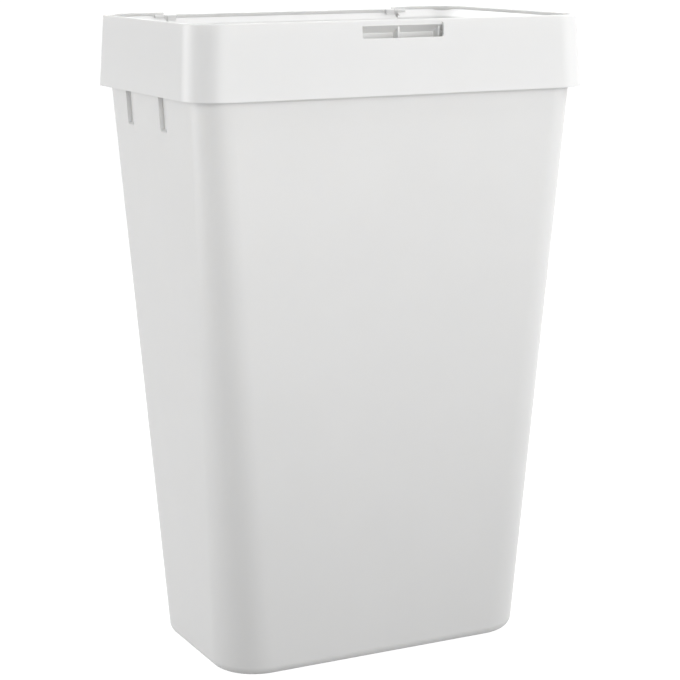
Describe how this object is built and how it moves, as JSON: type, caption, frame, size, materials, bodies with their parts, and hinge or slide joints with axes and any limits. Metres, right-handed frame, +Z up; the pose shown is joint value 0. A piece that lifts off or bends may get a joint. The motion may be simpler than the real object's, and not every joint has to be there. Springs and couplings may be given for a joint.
{
  "type": "open-topped waste bin",
  "caption": "Tall tapered rectangular waste bin with a deep lift-off collar, a hand hole in its front and a hinged inner bag frame.",
  "frame": {"origin": "centre of the base, on the floor plane", "axes": "+Z up, -Y towards the front with the hand hole, +X to the right seen from the front"},
  "size_m": [0.424, 0.283, 0.64],
  "materials": {
    "body_plastic": "white moulded polypropylene with a fine satin texture",
    "collar_plastic": "white moulded polypropylene with a fine satin texture, a little smoother than the body",
    "frame_plastic": "white moulded polypropylene, satin",
    "pin_steel": "bright drawn wire, lightly brushed"
  },
  "bodies": {
    "bin_body": {"body": "body_plastic"},
    "collar_unit": {"collar": "collar_plastic", "hinge_pin_left": "pin_steel", "hinge_pin_right": "pin_steel"},
    "frame_unit": {"bag_frame": "frame_plastic"}
  },
  "joints": [
    {"name": "collar_lift", "type": "slide", "parent": "bin_body", "child": "collar_unit", "axis": [0, 0, 1], "range_m": [0, 0.1]},
    {"name": "bag_frame_hinge", "type": "hinge", "parent": "collar_unit", "child": "frame_unit", "pos_m": [0, 0.1295, 0.6355], "axis": [-1, 0, 0], "range_deg": [0, 95]}
  ]
}
